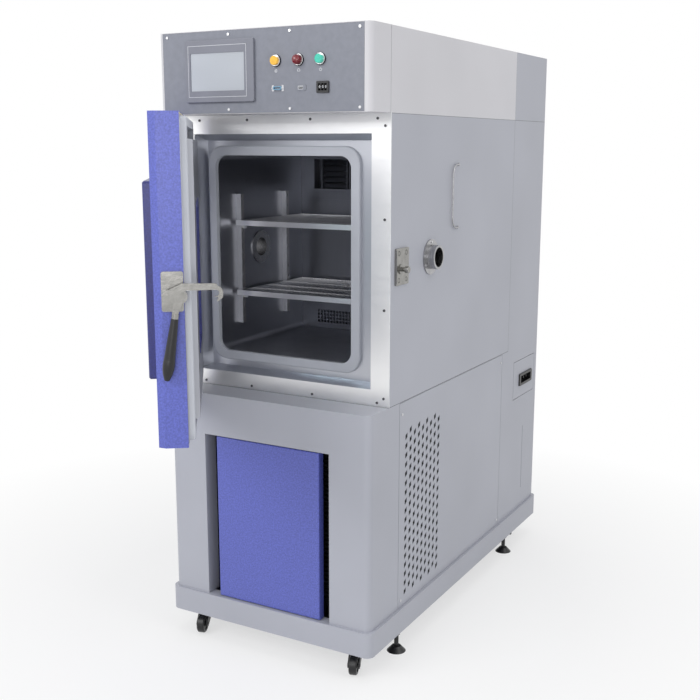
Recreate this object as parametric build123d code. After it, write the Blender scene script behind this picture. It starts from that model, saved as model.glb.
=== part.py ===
from build123d import *
import math
import os

os.makedirs("parts", exist_ok=True)

# Upright climatic test chamber. Built about the middle of the cabinet's width (x = 0),
# its front plane (y = 0, +Y to the back) and the floor (z = 0), in millimetres.

# Cabinet, from the floor up
HALF_W = 298.0
DEPTH = 1188.0
HEIGHT = 1573.0
PLINTH_Z0 = 67.0
PLINTH_Z1 = 131.0
PLINTH_LIP = 8.0
LEDGE_Z = 680.0
HOOD_Z = 1379.0
FRAME_Y = 97.0
HOOD_SEAM_Y = 94.0
COLUMN_Y = 905.0
PANEL_Y0 = 155.0
PANEL_Y1 = 858.0
SHEET = 1.5
CORNER_R = 18.0

# Service bay in the lower front
BAY_X0, BAY_X1, BAY_Z1 = -187.0, 185.0, 572.0
BAY_RETURN = 45.0
BAY_DOOR_X0, BAY_DOOR_X1 = -151.0, 156.0
BAY_PIVOT_X, BAY_PIVOT_Y = -142.0, 12.0

# Side vent of staggered lozenges
VENT_Y0, VENT_Z0 = 196.0, 166.0
VENT_COLUMNS, VENT_ROWS = 9, 18
VENT_PITCH_Y, VENT_PITCH_Z = 24.5, 24.6
LOZENGE_W, LOZENGE_H, LOZENGE_LEAN = 12.0, 19.0, 7.0

# Chamber: clear inside of the liner
CH_X0, CH_X1 = -233.0, 173.0
CH_Z0, CH_Z1 = 768.0, 1280.0
CH_Y1 = 668.0
LINER = 1.2
LINER_R = 14.0
DUCT_Y = 556.0

# Front frame: outer mouth of the stepped recess and its back flange
MOUTH = (-269.0, 247.0, 720.0, 1333.0)
FLANGE = (-262.0, 237.0, 727.0, 1317.0)
FLANGE_Y = 145.0
SEAL_OUT = (-255.0, 196.0, 744.0, 1304.0)
SEAL_Y0 = 133.0

# Entry ports of nominal 50 mm
PORT_R = 25.0
PORT_TUBE_R = 31.0
PORT_FLANGE_R = 45.0
PORT_Z = 1027.0
PORT_RIGHT_Y, PORT_LEFT_Y = 322.0, 338.0
PORT_PROUD = 24.0

# Door, drawn closed, then turned ajar about its hinge line
HINGE_X, HINGE_Y = -306.0, 24.0
DOOR_AJAR = 53.6
DOOR_X0, DOOR_X1 = -294.0, 290.0
DOOR_Y0, DOOR_Y1 = 20.0, 82.0
DOOR_Z0, DOOR_Z1 = 685.0, 1372.0
DOOR_BEVEL = (9.0, 15.0)
PLUG_Y = 106.0
PLUG_ROOT = (-258.0, 237.0, 730.0, 1322.0)
PLUG_END = (-254.0, 232.0, 734.0, 1317.0)
WIN_BOX = (-147.0, 143.0, 800.0, 1231.0)
WIN_HOLE = (-97.0, 93.0, 860.0, 1171.0)
WIN_PROUD = 25.0
HINGE_Z = (752.0, 1204.0)
KNUCKLE_R, PIN_R = 8.0, 5.0

# Cam latch on the free edge, in the door's closed plane (y, z)
LEVER_PIVOT = (74.0, 1006.0)
HOOK_ROOT = (46.0, 1008.0)
HOOK_CRANK = (81.0, 1026.0)
HOOK_ARM_END = (143.0, 1026.5)
STRIKE_PIN = (146.0, 1013.5)
STRIKE_R = 5.5
GRIP_TOP = (62.0, 961.0)
GRIP_END = (42.0, 833.0)
LEVER_X0, LEVER_X1 = 295.0, 303.0
HOOK_X0, HOOK_X1 = 306.0, 311.5

# Control fascia
FASCIA_X0, FASCIA_X1 = -283.0, 280.0
FASCIA_T = 3.0
HMI = (-211.0, -11.0, 1406.0, 1551.0)
SCREEN = (-195.0, -38.0, 1433.0, 1521.0)
BUTTON_Z = 1497.0
YELLOW_X, ALARM_X, GREEN_X = 47.0, 109.0, 167.0
COLLAR_R, CAP_R = 14.0, 10.4
SERIAL_X, USB_X, SOCKET_Z = 52.0, 114.0, 1435.0
COUNTER_X, COUNTER_Z = 174.0, 1435.0
DIAL_PITCH = 8.0

# Shelves
UPRIGHT = 14.0
UPRIGHT_Y = (226.0, 450.0)
SHELF_X0, SHELF_X1 = -217.0, 157.0
SHELF_Y0, SHELF_Y1 = 208.0, 530.0
SHELF_Z = (907.0, 1095.0)
SHELF_BAR = 13.5

# Castors and levelling feet (x, y)
WHEEL_R, WHEEL_W = 24.5, 20.0
AXLE_Z = 25.5
CASTOR_X = 236.0
CASTOR_Y = (46.0, 1136.0)
CASTOR_TRAIL = 27.0
CASTOR_TURN = 18.0
FOOT_X = 280.0
FOOT_Y = (186.0, 964.0)

AXIS = {"x": (1, 0, 0), "y": (0, 1, 0), "z": (0, 0, 1)}
RUN = 0.05


def block(x0, x1, y0, y1, z0, z1):
    return Pos((x0 + x1) / 2, (y0 + y1) / 2, (z0 + z1) / 2) * Box(x1 - x0, y1 - y0, z1 - z0)


def rod(start, axis, length, radius):
    return extrude(Plane(origin=start, z_dir=AXIS[axis]) * Circle(radius), length)


def tube(start, axis, length, outer, inner):
    plane = Plane(origin=start, z_dir=AXIS[axis])
    return extrude(plane * (Circle(outer) - Circle(inner)), length)


def face_rect(rect, y, radius=0.0, grow=0.0):
    """A rectangle (x0, x1, z0, z1) in the plane y, with rounded corners."""
    x0, x1, z0, z1 = rect
    width, height = x1 - x0 + 2 * grow, z1 - z0 + 2 * grow
    sketch = RectangleRounded(width, height, radius) if radius else Rectangle(width, height)
    plane = Plane(origin=((x0 + x1) / 2, y, (z0 + z1) / 2), x_dir=(1, 0, 0), z_dir=(0, -1, 0))
    return plane * sketch


def slab_y(rect, y0, y1, radius=0.0, grow=0.0):
    return extrude(face_rect(rect, y1, radius, grow), y1 - y0)


def taper_y(rect0, y0, rect1, y1, grow=0.0):
    return loft([face_rect(rect0, y0, 0, grow).faces()[0], face_rect(rect1, y1, 0, grow).faces()[0]])


def link_yz(p0, r0, p1, r1, x0, x1):
    """A tapered link between two round ends, in the y-z plane, from x0 to x1."""
    dy, dz = p1[0] - p0[0], p1[1] - p0[1]
    length = math.hypot(dy, dz)
    heading = math.atan2(dz, dy)
    open_angle = math.acos((r0 - r1) / length)
    corners = []
    for side, ends in ((1, ((p0, r0), (p1, r1))), (-1, ((p1, r1), (p0, r0)))):
        for (cy, cz), r in ends:
            a = heading + side * open_angle
            corners.append((cy + r * math.cos(a), cz + r * math.sin(a)))
    plane = Plane(origin=(x0, 0, 0), x_dir=(0, 1, 0), z_dir=(1, 0, 0))
    outline = Polyline(*corners, close=True)
    body = extrude(plane * make_face(outline), x1 - x0)
    ends = rod((x0, *p0), "x", x1 - x0, r0) + rod((x0, *p1), "x", x1 - x0, r1)
    return body + ends


def ajar(shape):
    return shape.rotate(Axis((HINGE_X, HINGE_Y, 0), (0, 0, 1)), -DOOR_AJAR)


def solids(*shapes):
    """Separate solids kept in one node."""
    return Compound(children=[s for shape in shapes for s in shape.solids()])


def plan_wrap(y0, y1, z0, z1, inset=0.0):
    """Block over the cabinet's width with rounded front corners."""
    body = block(-HALF_W + inset, HALF_W - inset, y0 + inset, y1, z0, z1)
    front = body.edges().filter_by(Axis.Z).group_by(Axis.Y)[0]
    return fillet(front, CORNER_R - inset)


def plinth():
    x, y0, y1 = HALF_W + PLINTH_LIP, -PLINTH_LIP, DEPTH + PLINTH_LIP
    wall, flange, deck = 2.0, 34.0, 3.0
    body = block(-x, x, y0, y1, PLINTH_Z0, PLINTH_Z1)
    body = fillet(body.edges().filter_by(Axis.Z), 20)
    trough = block(-x + wall, x - wall, y0 + wall, y1 - wall, PLINTH_Z0 + deck, PLINTH_Z1 - wall)
    body -= fillet(trough.edges().filter_by(Axis.Z), 20 - wall)
    body -= block(-x + flange, x - flange, y0 + flange, y1 - flange, PLINTH_Z1 - 5, PLINTH_Z1 + 1)
    for sx in (-1, 1):
        for fy in FOOT_Y:
            boss = rod((sx * FOOT_X, fy, PLINTH_Z0 + deck), "z", 12, 11)
            body += boss
            body -= rod((sx * FOOT_X, fy, PLINTH_Z0 - 1), "z", 20, 6 + RUN)
    body -= rod((BAY_PIVOT_X, BAY_PIVOT_Y, PLINTH_Z1 - 5), "z", 6, 4 + RUN)
    return body


def lower_cabinet():
    """Front wrap, deck and rear posts of the machine compartment, with landings for the panels."""
    body = plan_wrap(0, COLUMN_Y, PLINTH_Z1, LEDGE_Z)
    body -= plan_wrap(0, COLUMN_Y + 2, PLINTH_Z1 - 1, LEDGE_Z - 2, inset=SHEET)
    for sx in (-1, 1):
        x0, x1 = sorted((sx * (HALF_W - 4), sx * (HALF_W + 1)))
        body -= block(x0, x1, PANEL_Y0, PANEL_Y1, PLINTH_Z1 - 1, LEDGE_Z - 2)
        x0, x1 = sorted((sx * (HALF_W - SHEET - 2), sx * (HALF_W - SHEET)))
        for y in (PANEL_Y0, PANEL_Y1):
            body += block(x0, x1, y - 15, y + 15, PLINTH_Z1, LEDGE_Z - 2)
    rim = (BAY_X0, BAY_X1, PLINTH_Z1, BAY_Z1)
    body += block(BAY_X0 - SHEET, BAY_X1 + SHEET, 0, BAY_RETURN, PLINTH_Z1, BAY_Z1 + SHEET)
    body -= block(rim[0], rim[1], -1, BAY_RETURN + 1, PLINTH_Z1 - 1, rim[3])
    body -= rod((BAY_PIVOT_X, BAY_PIVOT_Y, BAY_Z1 - 1), "z", 5, 4 + RUN)
    return body


def lozenge(y, z):
    half_w, half_h, lean = LOZENGE_W / 2, LOZENGE_H / 2, LOZENGE_LEAN / 2
    points = [(y - half_w, z - half_h), (y + half_w, z - lean), (y + half_w, z + half_h), (y - half_w, z + lean)]
    plane = Plane(origin=(HALF_W - SHEET - 1, 0, 0), x_dir=(0, 1, 0), z_dir=(1, 0, 0))
    return extrude(plane * make_face(Polyline(*points, close=True)), SHEET + 2)


def side_panel():
    """Right-hand removable panel with the lozenge vent and folded edges."""
    gap, fold = 1.5, 10.0
    y0, y1, z0, z1 = PANEL_Y0 + gap, PANEL_Y1 - gap, PLINTH_Z1 + 0.5, LEDGE_Z - 3
    body = block(HALF_W - SHEET, HALF_W, y0, y1, z0, z1)
    body += block(HALF_W - fold, HALF_W, y0 + 16, y1 - 16, z1 - SHEET, z1)
    holes = []
    for column in range(VENT_COLUMNS):
        for row in range(VENT_ROWS):
            lift = VENT_PITCH_Z / 2 if column % 2 else 0
            holes.append(lozenge(VENT_Y0 + column * VENT_PITCH_Y, VENT_Z0 + row * VENT_PITCH_Z + lift))
    return body - holes


def side_panels():
    right = side_panel()
    return solids(right, mirror(right, Plane.YZ))


def rear_housing():
    body = block(-HALF_W, HALF_W, COLUMN_Y, DEPTH, PLINTH_Z1, HEIGHT)
    body = fillet(body.edges().filter_by(Axis.Z).group_by(Axis.Y)[-1], CORNER_R)
    inside = block(-HALF_W + SHEET, HALF_W - SHEET, COLUMN_Y - 1, DEPTH - SHEET, PLINTH_Z1 + SHEET, HEIGHT - SHEET)
    body -= fillet(inside.edges().filter_by(Axis.Z).group_by(Axis.Y)[-1], CORNER_R - SHEET)
    body -= block(HALF_W - 5, HALF_W + 1, 961, 1152, 510, 633)
    body -= block(HALF_W - 5, HALF_W + 1, 1060, 1062.5, 192, 405)
    return body


def socket_panel():
    body = block(HALF_W - SHEET, HALF_W, 962.5, 1150.5, 511.5, 631.5)
    return body - block(HALF_W - 5, HALF_W + 1, 1014, 1119, 550, 583)


def power_inlet():
    """Shrouded three-pin inlet set into the socket panel."""
    body = block(HALF_W, HALF_W + 4, 1010, 1123, 547, 586)
    body = fillet(body.edges().filter_by(Axis.X), 4)
    body += block(HALF_W - 38, HALF_W, 1014, 1119, 550, 583)
    body -= block(HALF_W - 24, HALF_W + 5, 1022, 1111, 555, 578)
    for y in (1042, 1066.5, 1091):
        body += block(HALF_W - 26, HALF_W - 4, y - 3, y + 3, 563, 570)
    return body


def upper_skins():
    right = block(HALF_W - SHEET, HALF_W, FRAME_Y + SHEET, COLUMN_Y, LEDGE_Z, HOOD_Z)
    left = block(-HALF_W, -HALF_W + SHEET, FRAME_Y + SHEET, COLUMN_Y, LEDGE_Z, HOOD_Z)
    right -= rod((0, PORT_RIGHT_Y, PORT_Z), "x", 400, PORT_TUBE_R)
    left -= rod((-400, PORT_LEFT_Y, PORT_Z), "x", 400, PORT_TUBE_R)
    return solids(right, left)


def control_hood():
    """Front cowl with rounded corners and the casing behind its seam."""
    front = plan_wrap(0, HOOD_SEAM_Y - 0.7, HOOD_Z, HEIGHT)
    front -= block(-HALF_W + SHEET, HALF_W - SHEET, FASCIA_T + SHEET + 16, HOOD_SEAM_Y + 1, HOOD_Z + SHEET, HEIGHT - SHEET)
    front -= block(FASCIA_X0 + 12, FASCIA_X1 - 12, -1, 60, HOOD_Z + 14, HEIGHT - 14)
    front -= block(FASCIA_X0, FASCIA_X1, -1, FASCIA_T, HOOD_Z + 1, HEIGHT - 1.5)
    rear = block(-HALF_W, HALF_W, HOOD_SEAM_Y + 0.7, COLUMN_Y, HOOD_Z, HEIGHT)
    rear -= block(-HALF_W + SHEET, HALF_W - SHEET, HOOD_SEAM_Y - 1, COLUMN_Y + 1, HOOD_Z + SHEET, HEIGHT - SHEET)
    return solids(front, rear)


def serial_cut(x, z, grow, y0, y1):
    """D-shaped opening of a nine-way connector."""
    half_w, half_h = 12.5 + grow, 5.2 + grow
    slant = 1.4
    points = [(x - half_w, z + half_h), (x + half_w, z + half_h), (x + half_w - slant, z - half_h), (x - half_w + slant, z - half_h)]
    plane = Plane(origin=(0, y1, 0), x_dir=(1, 0, 0), z_dir=(0, -1, 0))
    return extrude(plane * make_face(Polyline(*points, close=True)), y1 - y0)


def control_fascia():
    body = block(FASCIA_X0 + 0.5, FASCIA_X1 - 0.5, 0, FASCIA_T, HOOD_Z + 1.5, HEIGHT - 2)
    body -= slab_y(HMI, -1, FASCIA_T + 1, grow=-6)
    for x in (YELLOW_X, ALARM_X, GREEN_X):
        body -= rod((x, -1, BUTTON_Z), "y", FASCIA_T + 2, 11)
    for x in (SERIAL_X, USB_X):
        body -= block(x - 12, x + 12, -1, FASCIA_T + 1, SOCKET_Z - 5, SOCKET_Z + 5)
    body -= block(COUNTER_X - 14, COUNTER_X + 14, -1, FASCIA_T + 1, COUNTER_Z - 11, COUNTER_Z + 11)
    return body


def hmi_bezel():
    """Touch panel housing: bezel with a sloped inner frame, and its case behind the fascia."""
    body = slab_y(HMI, -7, 0, radius=5)
    body = fillet(body.faces().sort_by(Axis.Y)[0].edges(), 2)
    body -= slab_y(SCREEN, -9, -3.2, radius=2)
    body += slab_y(HMI, 0, 38, radius=3, grow=-6)
    return body


def hmi_screen():
    return slab_y(SCREEN, -5.0, -3.2, radius=2)


def alarm_dome():
    """Sounder with a ribbed dome."""
    profile = [(0, -20), (4, -19.5), (8, -17), (10, -13), (10.4, -9), (10.4, 34), (0, 34)]
    dome = revolve(Plane.XY * make_face(Polyline(*profile, close=True)), Axis.Y)
    dome = Pos(ALARM_X, 0, BUTTON_Z) * dome
    for i in range(5):
        y = -8.5 - 1.9 * i
        reach = (11.2, 11.1, 10.6, 9.6, 7.6)[i]
        dome += rod((ALARM_X, y, BUTTON_Z), "y", 0.9, reach)
    return dome


def panel_collars():
    """Bezel rings and barrels that hold the two buttons and the sounder."""
    parts = []
    for x in (YELLOW_X, ALARM_X, GREEN_X):
        ring = rod((x, -5, BUTTON_Z), "y", 5, COLLAR_R)
        ring = chamfer(ring.faces().sort_by(Axis.Y)[0].edges(), 1.5)
        ring += rod((x, 0, BUTTON_Z), "y", 40, 11)
        ring -= rod((x, -6, BUTTON_Z), "y", 44, CAP_R + RUN)
        parts.append(ring)
    return solids(*parts)


def push_button(x):
    cap = rod((x, -11, BUTTON_Z), "y", 15, CAP_R)
    cap = chamfer(cap.faces().sort_by(Axis.Y)[0].edges(), 1.2)
    return cap + rod((x, 4, BUTTON_Z), "y", 20, 6)


def panel_sockets():
    """Serial and data sockets, and the case of the three-dial preset counter."""
    serial = slab_y((SERIAL_X - 16, SERIAL_X + 16, SOCKET_Z - 7, SOCKET_Z + 7), -1.2, 0, radius=2)
    serial += serial_cut(SERIAL_X, SOCKET_Z, -1.6, -5, 0) + block(SERIAL_X - 12, SERIAL_X + 12, 0, 16, SOCKET_Z - 5, SOCKET_Z + 5)
    serial -= serial_cut(SERIAL_X, SOCKET_Z, -2.8, -6, -1)
    for sx in (-1, 1):
        serial += rod((SERIAL_X + sx * 13.6, -4, SOCKET_Z), "y", 3, 1.9)
    data = slab_y((USB_X - 16, USB_X + 16, SOCKET_Z - 7, SOCKET_Z + 7), -1.2, 0, radius=6)
    data += block(USB_X - 12, USB_X + 12, 0, 22, SOCKET_Z - 5, SOCKET_Z + 5)
    data -= block(USB_X - 6.2, USB_X + 6.2, -2, 12, SOCKET_Z - 2.4, SOCKET_Z + 2.4)
    data += block(USB_X - 5.2, USB_X + 5.2, -0.5, 13, SOCKET_Z + 0.4, SOCKET_Z + 1.8)
    case = block(COUNTER_X - 16, COUNTER_X + 16, -4, 0, COUNTER_Z - 13, COUNTER_Z + 13)
    case = fillet(case.edges().filter_by(Axis.Y), 1.5)
    case += block(COUNTER_X - 14, COUNTER_X + 14, 0, 22, COUNTER_Z - 11, COUNTER_Z + 11)
    case -= block(COUNTER_X - 12.4, COUNTER_X + 12.4, -2.2, 20, COUNTER_Z - 10, COUNTER_Z + 10)
    for i in (-1, 0, 1):
        case -= block(COUNTER_X + i * DIAL_PITCH - 3.2, COUNTER_X + i * DIAL_PITCH + 3.2, -5, 0, COUNTER_Z - 8, COUNTER_Z + 8)
    case += rod((COUNTER_X - 13, 7, COUNTER_Z), "x", 26, 2)
    return solids(serial, data, case)


def thumbwheel(index):
    """Knurled dial of the preset counter, showing through its slot."""
    x = COUNTER_X + (index - 1) * DIAL_PITCH
    wheel = rod((x - 2.8, 7, COUNTER_Z), "x", 5.6, 9.4)
    notches = [
        Pos(x, 7 + 9.6 * math.cos(a), COUNTER_Z + 9.6 * math.sin(a)) * Rot(math.degrees(a), 0, 0) * Box(6, 1.2, 1.6)
        for a in [math.radians(36 * k + 18) for k in range(10)]
    ]
    return wheel - notches - rod((x - 4, 7, COUNTER_Z), "x", 8, 2 + RUN)


def front_frame():
    """Stainless surround: flat face, tapered step and the flange that carries the seal."""
    face = block(-HALF_W, HALF_W, FRAME_Y, FRAME_Y + SHEET, LEDGE_Z, HOOD_Z)
    body = face + taper_y(MOUTH, FRAME_Y, FLANGE, FLANGE_Y, grow=SHEET)
    body += slab_y(FLANGE, FLANGE_Y, FLANGE_Y + SHEET, grow=SHEET)
    body -= taper_y(MOUTH, FRAME_Y - 0.01, FLANGE, FLANGE_Y)
    return body - slab_y((CH_X0, CH_X1, CH_Z0, CH_Z1), FLANGE_Y - 5, FLANGE_Y + 5, radius=LINER_R)


def opening_seal():
    body = slab_y(SEAL_OUT, SEAL_Y0, FLANGE_Y, radius=44)
    body = fillet(body.faces().sort_by(Axis.Y)[0].edges(), 5)
    inner = (CH_X0 + 2, CH_X1 - 1, CH_Z0, CH_Z1)
    body -= slab_y(inner, SEAL_Y0 - 1, FLANGE_Y + 1, radius=30)
    return body


def chamber_liner():
    rect = (CH_X0, CH_X1, CH_Z0, CH_Z1)
    body = slab_y(rect, FLANGE_Y + SHEET, CH_Y1 + LINER, radius=LINER_R + LINER, grow=LINER)
    body -= slab_y(rect, FLANGE_Y, CH_Y1, radius=LINER_R)
    body -= rod((0, PORT_RIGHT_Y, PORT_Z), "x", 400, PORT_TUBE_R)
    body -= rod((-400, PORT_LEFT_Y, PORT_Z), "x", 400, PORT_TUBE_R)
    return body - rod((-30, CH_Y1 - 5, 1100), "y", 20, 10)


def insulation_slabs():
    gap = 0.2
    y0, y1 = FLANGE_Y + SHEET + 0.5, 781.0
    inner_x0, inner_x1 = CH_X0 - LINER - gap, CH_X1 + LINER + gap
    inner_z0, inner_z1 = CH_Z0 - LINER - gap, CH_Z1 + LINER + gap
    right = block(inner_x1, HALF_W - SHEET - gap, y0, y1, LEDGE_Z + gap, HOOD_Z - gap)
    left = block(-HALF_W + SHEET + gap, inner_x0, y0, y1, LEDGE_Z + gap, HOOD_Z - gap)
    right -= rod((0, PORT_RIGHT_Y, PORT_Z), "x", 400, PORT_TUBE_R)
    left -= rod((-400, PORT_LEFT_Y, PORT_Z), "x", 400, PORT_TUBE_R)
    top = block(inner_x0 + gap, inner_x1 - gap, y0, y1, inner_z1, HOOD_Z - gap)
    bottom = block(inner_x0 + gap, inner_x1 - gap, y0, y1, LEDGE_Z + gap, inner_z0)
    back = block(inner_x0 + gap, inner_x1 - gap, CH_Y1 + LINER + gap, y1, inner_z0 + gap, inner_z1 - gap)
    back -= rod((-30, CH_Y1, 1100), "y", 200, 10)
    return solids(right, left, top, bottom, back)


def duct_panel():
    """Air-duct cover across the back of the chamber: louvred outlet above, pierced return below."""
    x0, x1, z0, z1 = CH_X0 + 0.3, CH_X1 - 0.3, CH_Z0 + 0.3, CH_Z1 - 0.3
    body = slab_y((x0, x1, z0, z1), DUCT_Y, DUCT_Y + SHEET, radius=LINER_R - 1)
    outlet = (-184.0, 124.0, 1181.0, 1266.0)
    body += slab_y(outlet, DUCT_Y - 6, DUCT_Y + 24, grow=9)
    body += block(-207, 147, DUCT_Y - 3, DUCT_Y, CH_Z0 + 1, 1150)
    body -= slab_y(outlet, DUCT_Y - 7, DUCT_Y + 25)
    group = 84.0
    for g in range(3):
        gx0 = outlet[0] + 20 + g * (group + 8)
        for i in range(5):
            z = outlet[2] + 9 + 16.5 * i
            slat = Pos(gx0 + group / 2, DUCT_Y + 13, z) * Rot(-28, 0, 0) * Box(group, 1.2, 14)
            body += slat
        for x in (gx0, gx0 + group):
            body += block(x - 1, x + 1, DUCT_Y + 4, DUCT_Y + 22, outlet[2] - 1, outlet[3] + 1)
    holes = [block(-176 + 10.6 * i, -169 + 10.6 * i, DUCT_Y - 4, DUCT_Y + 3, 786 + 10.2 * j, 793 + 10.2 * j)
             for i in range(28) for j in range(4)]
    return body - holes


def shelf_uprights():
    """Slotted uprights on the side walls, with a clip under each shelf corner."""
    parts = []
    for x_wall, sx in ((CH_X0, 1), (CH_X1, -1)):
        inner = x_wall + sx * (UPRIGHT + 0.5)
        for y in UPRIGHT_Y:
            low, high = sorted((x_wall + sx * 0.1, inner))
            post = block(low, high, y, y + UPRIGHT, 828, 1177)
            low, high = sorted((inner - sx * 3, inner + sx))
            post -= [block(low, high, y + 5, y + 9, z, z + 9) for z in range(842, 1165, 29)]
            for z in SHELF_Z:
                low, high = sorted((inner, inner + sx * 13))
                post += block(low, high, y + 1, y + 13, z - 3.2, z - 0.2)
                post += block(low, high, y + 6, y + 8, z - 9, z - 3)
            parts.append(post)
    return solids(*parts)


def shelf(z):
    """Bar-framed wire shelf that rests on the four clips."""
    x0, x1, y0, y1, bar = SHELF_X0, SHELF_X1, SHELF_Y0, SHELF_Y1, 3.5
    frame = block(x0 - 7, x1 + 7, y0, y0 + bar, z, z + SHELF_BAR) + block(x0, x1, y1 - bar, y1, z, z + SHELF_BAR)
    frame += block(x0, x0 + bar, y0, y1, z, z + SHELF_BAR) + block(x1 - bar, x1, y0, y1, z, z + SHELF_BAR)
    wires = 27
    pitch = (x1 - x0) / (wires + 1)
    for i in range(wires):
        x = x0 + pitch * (i + 1)
        frame += block(x - 1.3, x + 1.3, y0 + bar, y1 - bar, z + SHELF_BAR - 3.1, z + SHELF_BAR - 0.5)
    for y in (y0 + 80, y0 + 160, y0 + 240):
        frame += block(x0 + bar, x1 - bar, y - 1.5, y + 1.5, z + SHELF_BAR - 5.6, z + SHELF_BAR - 2.8)
    return frame


def port_tubes():
    """Stainless entry tubes with a flange inside and outside the wall."""
    parts = []
    for y, inner_x, sx in ((PORT_RIGHT_Y, CH_X1, 1), (PORT_LEFT_Y, CH_X0, -1)):
        outer_x = sx * HALF_W
        start, end = inner_x - sx * 3, outer_x + sx * PORT_PROUD
        low, high = min(start, end), max(start, end)
        piece = rod((low, y, PORT_Z), "x", high - low, PORT_TUBE_R)
        for a, b in ((start, inner_x), (outer_x, outer_x + sx * 3)):
            piece += rod((min(a, b), y, PORT_Z), "x", abs(b - a), PORT_FLANGE_R)
        piece -= rod((low - 1, y, PORT_Z), "x", high - low + 2, PORT_R)
        parts.append(piece)
    return solids(*parts)


def striker():
    """Keeper block for the latch hook, with its round pin."""
    y0, y1, z0, z1 = 120.0, 189.0, 975.0, 1064.0
    body = block(HALF_W, HALF_W + 4, y0, y1, z0, z1)
    body = fillet(body.edges().filter_by(Axis.X), 4)
    body += block(HALF_W, HALF_W + 6.5, y0, y0 + 5, z0 + 4, z1 - 4)
    py, pz = STRIKE_PIN
    body += rod((HALF_W + 3, py, pz), "x", 3.5, 12)
    body += rod((HALF_W + 3, py, pz), "x", 23, STRIKE_R)
    body += rod((HALF_W + 17, py, pz), "x", 9, 8)
    for y in (y0 + 16, y1 - 14):
        for z in (z0 + 12, z1 - 12):
            body -= rod((HALF_W + 2, y, z), "x", 6, 6)
            body += rod((HALF_W + 2, y, z), "x", 1.8, 4.5)
    return body


def wire_handle():
    """Thin bent-wire cable rest on the right side."""
    x, r, bend = HALF_W + 5, 1.8, 26.0
    y0, y1, z0, z1 = 446.0, 490.0, 1091.0, 1256.0
    points = [(HALF_W, y1, z0), (x, y1, z0), (x, y0, z0), (x, y0, z1), (x, y1, z1), (HALF_W, y1, z1)]
    path = FilletPolyline(*points, radius=[4, bend, bend, 4])
    body = sweep(Plane(origin=path @ 0, z_dir=path % 0) * Circle(r), path=path)
    for z in (z0, z1):
        body += rod((HALF_W, y1, z), "x", 2, 4)
    return body


def refrigeration_unit():
    """Condenser block in its shroud behind the service door, and the hermetic compressor."""
    fins = block(-165, 165, 70, 108, 150, 555)
    fins -= [block(-160, 160, 69, 82, z, z + 6) for z in range(160, 545, 12)]
    shroud = block(-172, 172, 108, 200, 145, 560) - block(-168, 168, 107, 201, 149, 556)
    shroud += block(-170, 170, 186, 192, 344, 360) + block(-8, 8, 186, 192, 147, 558)
    shroud -= rod((0, 180, 352), "y", 20, 4)
    legs = block(-172, -140, 70, 200, PLINTH_Z0 + 3, 145) + block(140, 172, 70, 200, PLINTH_Z0 + 3, 145)
    pot = rod((40, 470, 90), "z", 150, 82)
    pot = fillet(pot.edges(), 38)
    foot = block(-50, 130, 380, 560, PLINTH_Z0 + 3, 95)
    stub = rod((120, 520, 200), "z", 60, 6)
    return solids(fins + shroud + legs, pot + foot + stub)


def fan_motors():
    """Motor of the condenser fan and motor of the circulation blower."""
    condenser = rod((0, 192, 352), "y", 62, 36)
    condenser = fillet(condenser.faces().sort_by(Axis.Y)[-1].edges(), 8)
    condenser += rod((0, 170, 352), "y", 24, 4)
    blower = rod((-30, 781.2, 1100), "y", 6, 70) + rod((-30, 787, 1100), "y", 95, 52)
    blower = fillet(blower.faces().sort_by(Axis.Y)[-1].edges(), 10)
    blower -= rod((-30, 780, 1100), "y", 12, 10)
    return solids(condenser, blower)


def condenser_fan():
    """Five-blade axial fan on the condenser fan's shaft."""
    hub = rod((0, 150, 352), "y", 32, 26)
    blade = Pos(0, 166, 352 + 76) * Rot(0, 0, 32) * Box(58, 2.4, 116)
    blades = [blade.rotate(Axis((0, 0, 352), (0, 1, 0)), 72 * k) for k in range(5)]
    return hub + blades - rod((0, 165, 352), "y", 30, 4 + RUN)


def blower_wheel():
    """Centrifugal wheel behind the duct panel, with its long shaft through the back wall."""
    x, z, y0, y1, r = -30.0, 1100.0, 596.0, 640.0, 78.0
    wheel = rod((x, y1 - 3, z), "y", 3, r) + tube((x, y0, z), "y", 3, r, r - 20)
    vane = Pos(x + r - 10, (y0 + y1) / 2, z) * Rot(0, 38, 0) * Box(1.6, y1 - y0 - 2, 17)
    vanes = [vane.rotate(Axis((x, 0, z), (0, 1, 0)), 20 * k) for k in range(18)]
    shaft = rod((x, y1 - 20, z), "y", 166, 6) + rod((x, y1 - 22, z), "y", 22, 14)
    return wheel + vanes + shaft


def service_door():
    """Blue pan panel that turns on pins at its left edge."""
    x0, x1, z0, z1, fold = BAY_DOOR_X0, BAY_DOOR_X1, 133.0, 570.0, 22.0
    body = block(x0, x1, 0, fold, z0, z1)
    body = fillet(body.faces().sort_by(Axis.Y)[0].edges(), 3)
    body -= block(x0 + SHEET, x1 - SHEET, SHEET, fold + 1, z0 + SHEET, z1 - SHEET)
    body += rod((BAY_PIVOT_X, BAY_PIVOT_Y, z1 - 12), "z", 15, 4)
    body += rod((BAY_PIVOT_X, BAY_PIVOT_Y, PLINTH_Z1 - 3), "z", 16, 4)
    return body


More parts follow.
